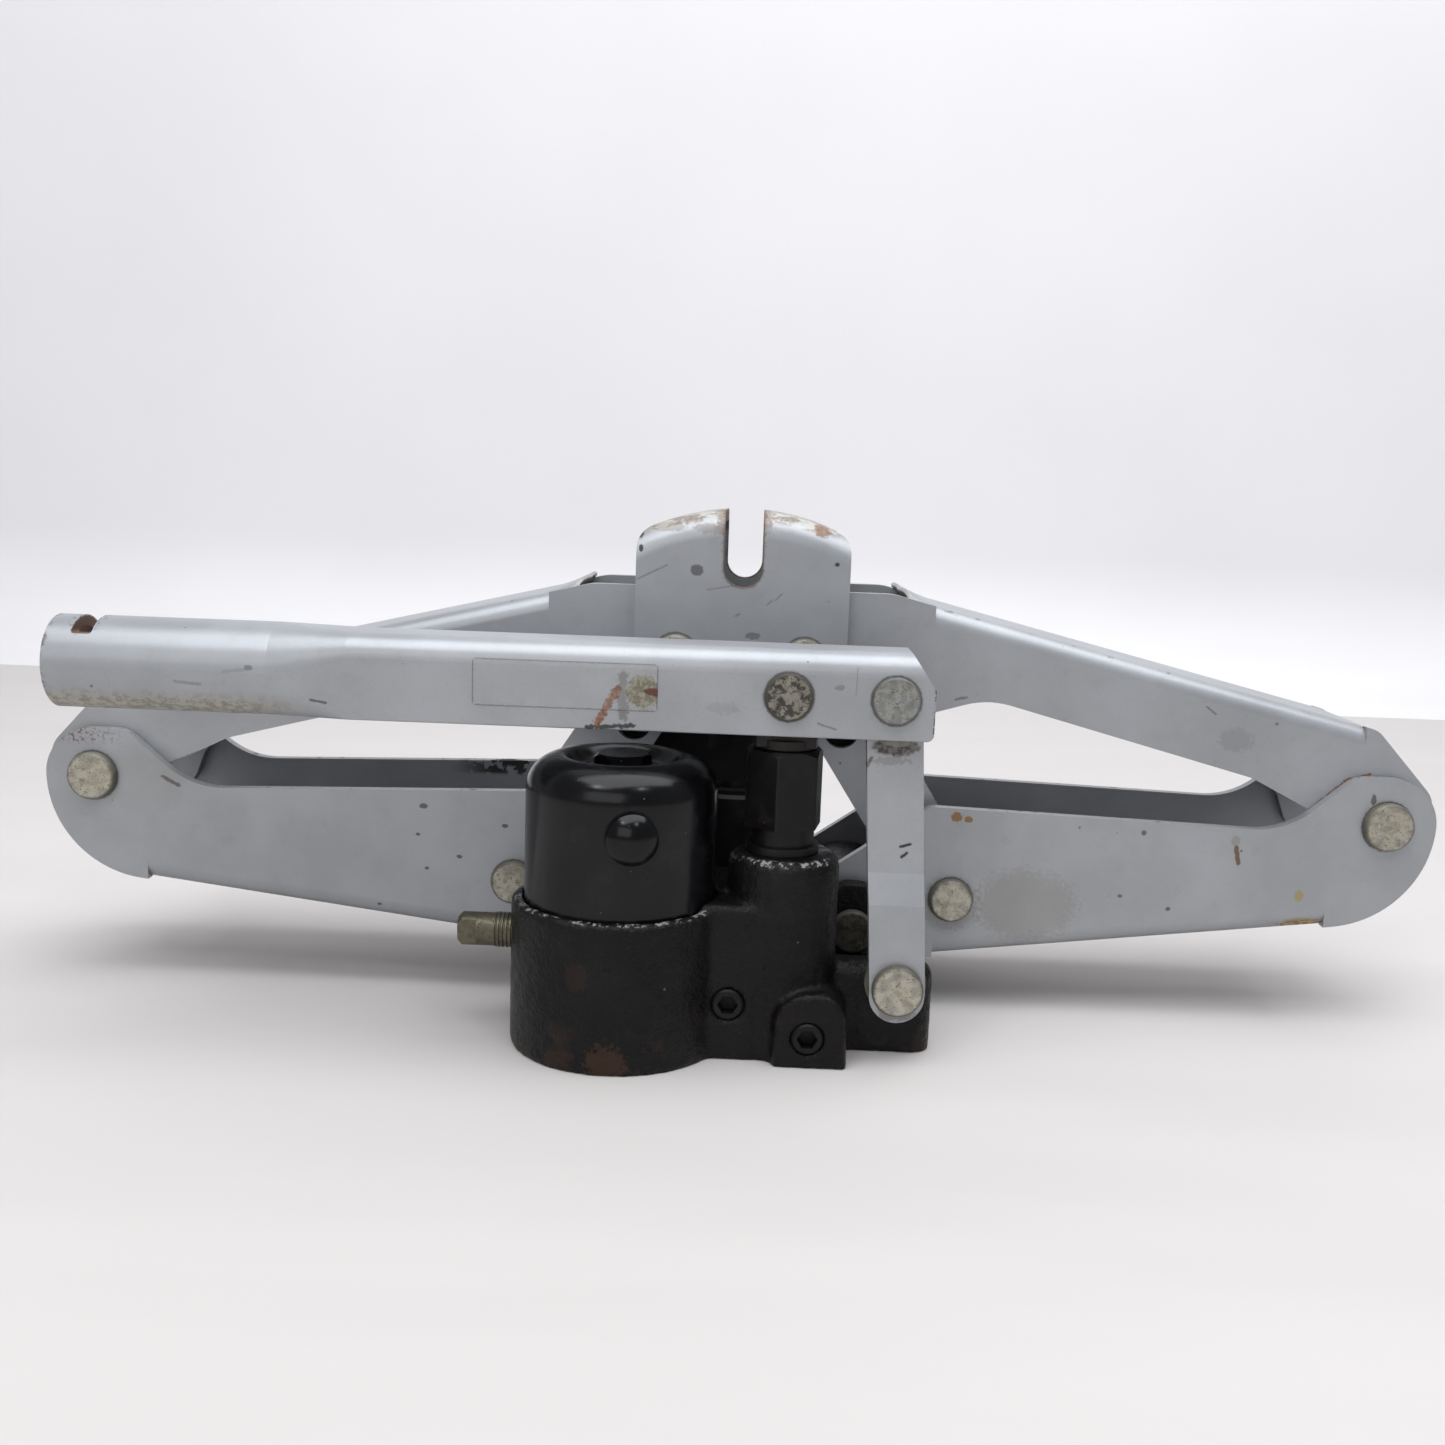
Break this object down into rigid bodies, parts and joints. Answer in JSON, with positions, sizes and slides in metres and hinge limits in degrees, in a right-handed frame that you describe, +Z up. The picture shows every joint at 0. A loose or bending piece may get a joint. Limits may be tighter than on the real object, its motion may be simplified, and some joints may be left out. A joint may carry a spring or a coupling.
{
  "type": "hydraulic scissor car jack",
  "caption": "Hydraulic scissor car jack: hand pump with lever, cast base with oil tank and ram, folding arms and a slotted saddle.",
  "frame": {"origin": "on the floor, under the axis of the lifting ram, in the middle of the base casting's sole", "axes": "+Z up along the ram, +X along the folded arms towards the pump link, -Y towards the oil tank and hand pump"},
  "size_m": [0.393, 0.1198, 0.1391],
  "materials": {
    "cast_black": "semi-gloss black paint over a rough casting",
    "gloss_black": "glossy black paint",
    "silver_paint": "bluish grey silver paint, worn",
    "zinc": "zinc plated steel",
    "steel": "ground steel, oiled",
    "rubber": "black rubber",
    "clear_label": "clear film"
  },
  "bodies": {
    "base": {"base_casting": "cast_black", "oil_tank": "gloss_black", "tank_seal": "rubber", "tank_washer": "gloss_black", "tank_bolt": "gloss_black", "filler_plug": "rubber", "pump_barrel": "gloss_black", "pump_packing": "rubber", "passage_plugs": "gloss_black", "suction_ball": "steel", "suction_spring": "steel", "ram_cylinder": "steel", "ram_gland": "steel", "rod_wiper": "rubber", "base_pin_left": "zinc", "base_pin_right": "zinc", "link_base_pin": "zinc", "release_ball": "steel"},
    "ram": {"ram_rod": "steel", "piston_seal": "rubber", "crosshead": "steel", "crosshead_ring": "steel", "crosshead_pins": "steel"},
    "lower_arm_left": {"lower_arm_left": "silver_paint", "lift_pin_left": "zinc", "elbow_pin_left": "zinc"},
    "upper_arm_left": {"upper_arm_left": "silver_paint"},
    "lift_links_left": {"lift_link_front_left": "silver_paint", "lift_link_rear_left": "silver_paint", "lift_spacers_left": "zinc"},
    "lower_arm_right": {"lower_arm_right": "silver_paint", "lift_pin_right": "zinc", "elbow_pin_right": "zinc"},
    "upper_arm_right": {"upper_arm_right": "silver_paint"},
    "lift_links_right": {"lift_link_front_right": "silver_paint", "lift_link_rear_right": "silver_paint", "lift_spacers_right": "zinc"},
    "saddle": {"saddle": "silver_paint", "saddle_pin_left": "zinc", "saddle_pin_right": "zinc"},
    "pump_link": {"pump_link": "silver_paint"},
    "lever": {"lever": "silver_paint", "lever_pump_pin": "zinc", "lever_link_pin": "zinc", "label": "clear_label"},
    "plunger": {"plunger": "steel"},
    "release_screw": {"release_screw": "zinc"}
  },
  "joints": [
    {"name": "fold", "type": "hinge", "parent": "base", "child": "lower_arm_left", "pos_m": [-0.0344, 0, 0.0237], "axis": [0, 1, 0], "range_deg": [0, 48]},
    {"name": "lower_arm_right_hinge", "type": "hinge", "parent": "base", "child": "lower_arm_right", "pos_m": [0.0344, 0, 0.0237], "axis": [0, -1, 0], "range_deg": [0, 48.1]},
    {"name": "elbow_left", "type": "hinge", "parent": "lower_arm_left", "child": "upper_arm_left", "pos_m": [-0.1829, 0, 0.0582], "axis": [0, -1, 0], "range_deg": [0, 92.2]},
    {"name": "elbow_right", "type": "hinge", "parent": "lower_arm_right", "child": "upper_arm_right", "pos_m": [0.1829, 0, 0.0582], "axis": [0, 1, 0], "range_deg": [0, 92.2]},
    {"name": "saddle_hinge", "type": "hinge", "parent": "upper_arm_left", "child": "saddle", "pos_m": [-0.0179, 0, 0.0988], "axis": [0, 1, 0], "range_deg": [0, 44.2]},
    {"name": "ram_slide", "type": "slide", "parent": "base", "child": "ram", "axis": [0, 0, 1], "range_m": [0, 0.0252]},
    {"name": "lift_link_left_hinge", "type": "hinge", "parent": "lower_arm_left", "child": "lift_links_left", "pos_m": [-0.0624, 0, 0.032], "axis": [0, -1, 0], "range_deg": [0, 64.98]},
    {"name": "lift_link_right_hinge", "type": "hinge", "parent": "lower_arm_right", "child": "lift_links_right", "pos_m": [0.0624, 0, 0.032], "axis": [0, 1, 0], "range_deg": [0, 64.98]},
    {"name": "pump_link_hinge", "type": "hinge", "parent": "base", "child": "pump_link", "pos_m": [0.0439, -0.057, 0.0199], "axis": [0, -1, 0], "range_deg": [0, 2.5]},
    {"name": "lever_hinge", "type": "hinge", "parent": "pump_link", "child": "lever", "pos_m": [0.0396, -0.057, 0.0947], "axis": [0, 1, 0], "range_deg": [0, 30.38]},
    {"name": "plunger_slide", "type": "slide", "parent": "base", "child": "plunger", "axis": [0, 0, 1], "range_m": [0, 0.0124]},
    {"name": "release_turn", "type": "hinge", "parent": "base", "child": "release_screw", "pos_m": [-0.06, -0.057, 0.028], "axis": [-1, 0, 0], "range_deg": [0, 360]}
  ],
  "couplings": [
    {"joint": "lower_arm_right_hinge", "follows": "fold", "ratio": 1},
    {"joint": "elbow_left", "follows": "fold", "ratio": 1.9188},
    {"joint": "elbow_right", "follows": "fold", "ratio": 1.9188},
    {"joint": "saddle_hinge", "follows": "fold", "ratio": 0.91883},
    {"joint": "ram_slide", "follows": "fold", "m_per_rad": 0.029948},
    {"joint": "lift_link_left_hinge", "follows": "fold", "ratio": 1.3516},
    {"joint": "lift_link_right_hinge", "follows": "fold", "ratio": 1.3516},
    {"joint": "pump_link_hinge", "follows": "lever_hinge", "ratio": 0.0786},
    {"joint": "plunger_slide", "follows": "lever_hinge", "m_per_rad": 0.023085}
  ]
}
